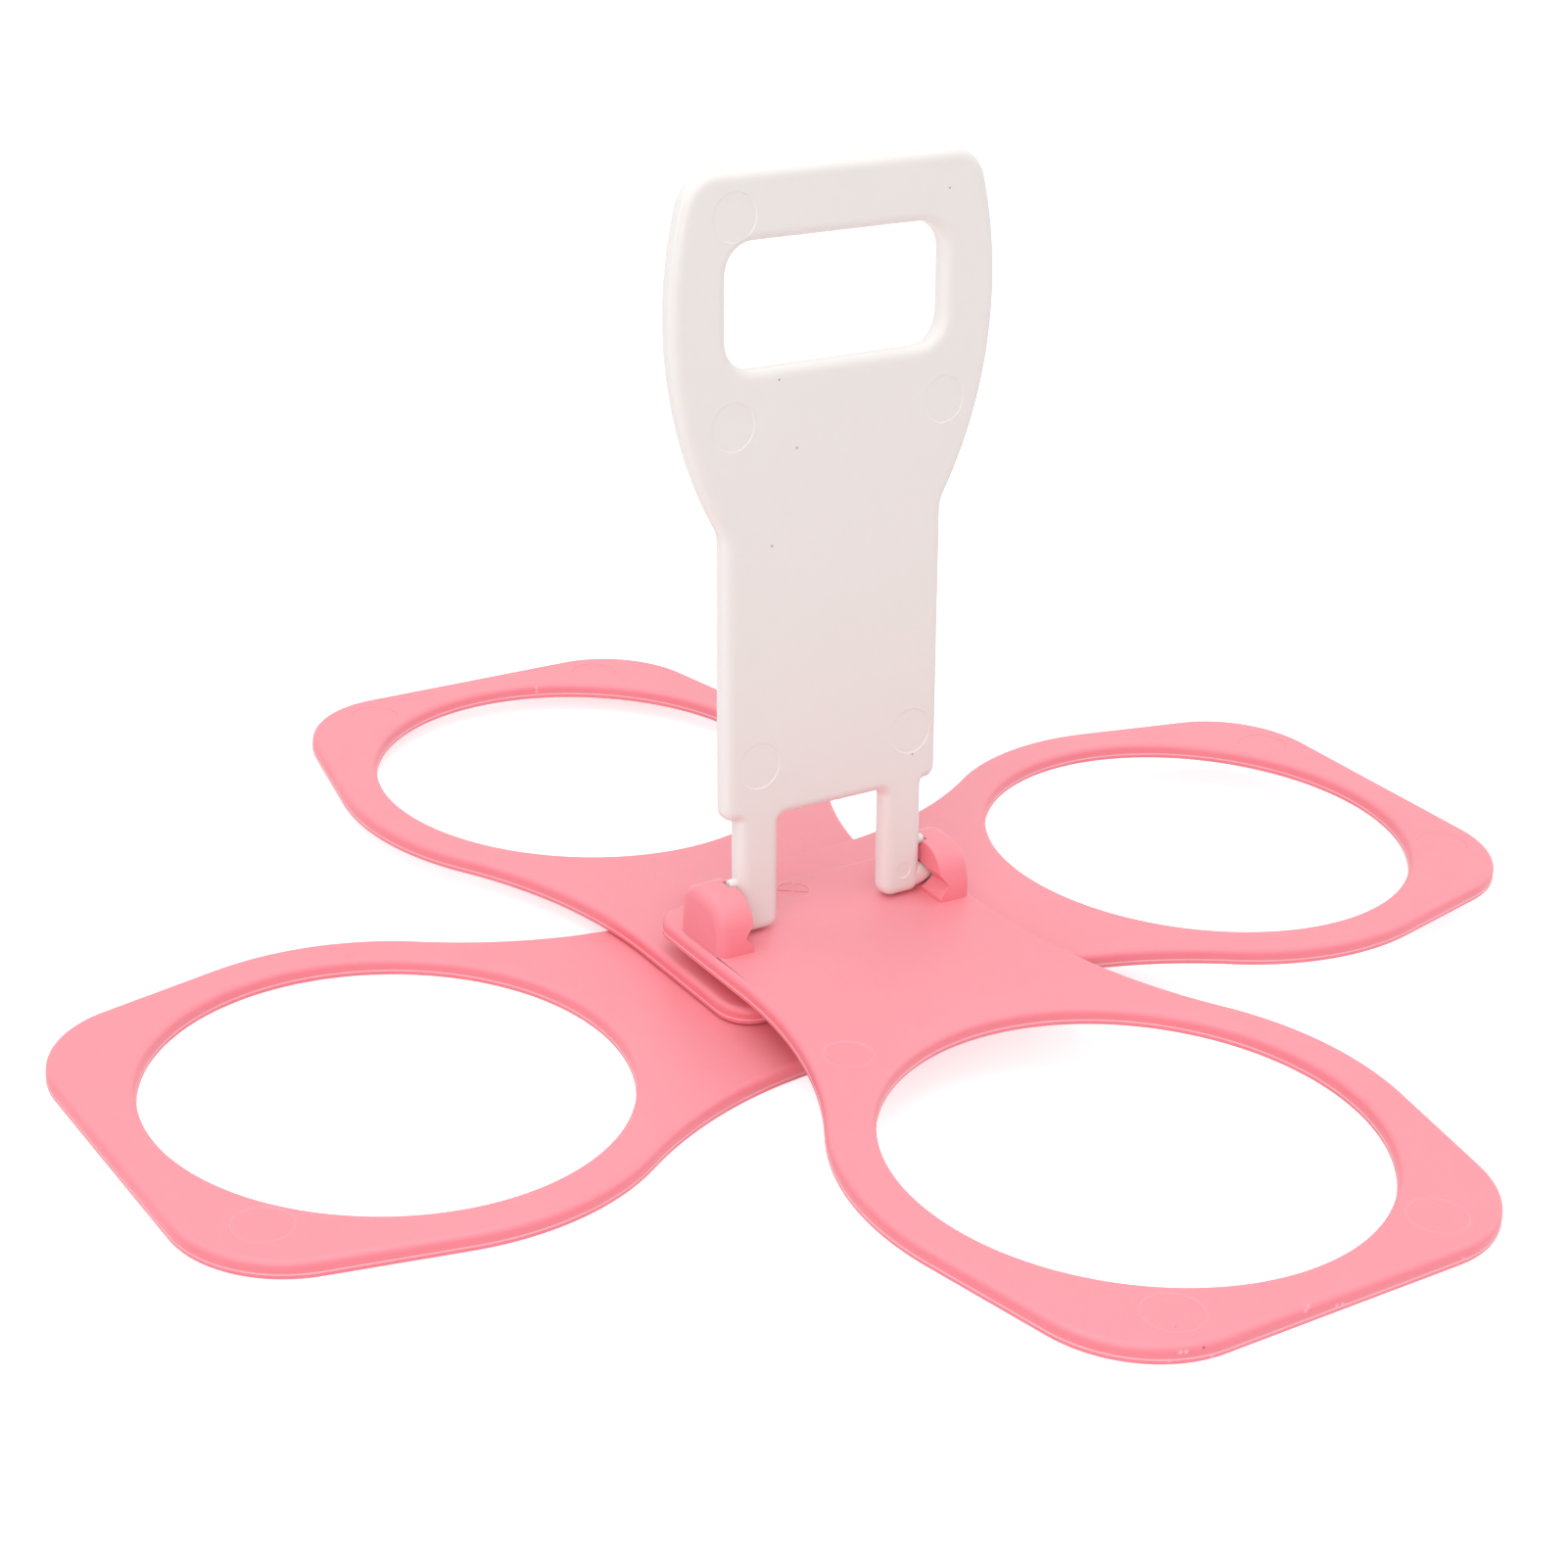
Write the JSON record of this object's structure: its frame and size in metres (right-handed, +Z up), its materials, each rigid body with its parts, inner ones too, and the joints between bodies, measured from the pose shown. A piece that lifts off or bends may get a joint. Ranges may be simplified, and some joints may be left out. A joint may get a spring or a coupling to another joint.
{
  "type": "drink carrier",
  "caption": "Fold-away plastic drink carrier: ring petals fan out round one pivot to hold cups, with an upright snap-in handle that has a hand slot.",
  "frame": {"origin": "on the pivot axis, at the level of the table that the carrier stands on", "axes": "+Z up along the pivot axis; -Y along the top petal, towards which the handle folds down; X along the handle's hinge line"},
  "size_m": [0.2656, 0.2656, 0.1427],
  "materials": {
    "pink_plastic": "satin moulded",
    "white_plastic": "satin moulded"
  },
  "bodies": {
    "top_arm": {"front_petal": "pink_plastic", "pivot_cap": "pink_plastic"},
    "right_arm": {"right_petal": "pink_plastic"},
    "back_arm": {"back_petal": "pink_plastic"},
    "left_arm": {"left_petal": "pink_plastic"},
    "grip": {"handle": "white_plastic"}
  },
  "joints": [
    {"name": "right_fan", "type": "hinge", "parent": "top_arm", "child": "right_arm", "pos_m": [0, 0, 0.0081], "axis": [0, 0, 1], "range_deg": [-90, 0]},
    {"name": "back_fan", "type": "hinge", "parent": "right_arm", "child": "back_arm", "pos_m": [0, 0, 0.0048], "axis": [0, 0, 1], "range_deg": [-90, 0]},
    {"name": "left_fan", "type": "hinge", "parent": "back_arm", "child": "left_arm", "pos_m": [0, 0, 0.0015], "axis": [0, 0, 1], "range_deg": [-90, 0]},
    {"name": "handle_hinge", "type": "hinge", "parent": "top_arm", "child": "grip", "pos_m": [0, 0.0006, 0.01588], "axis": [1, 0, 0], "range_deg": [0, 95]}
  ]
}
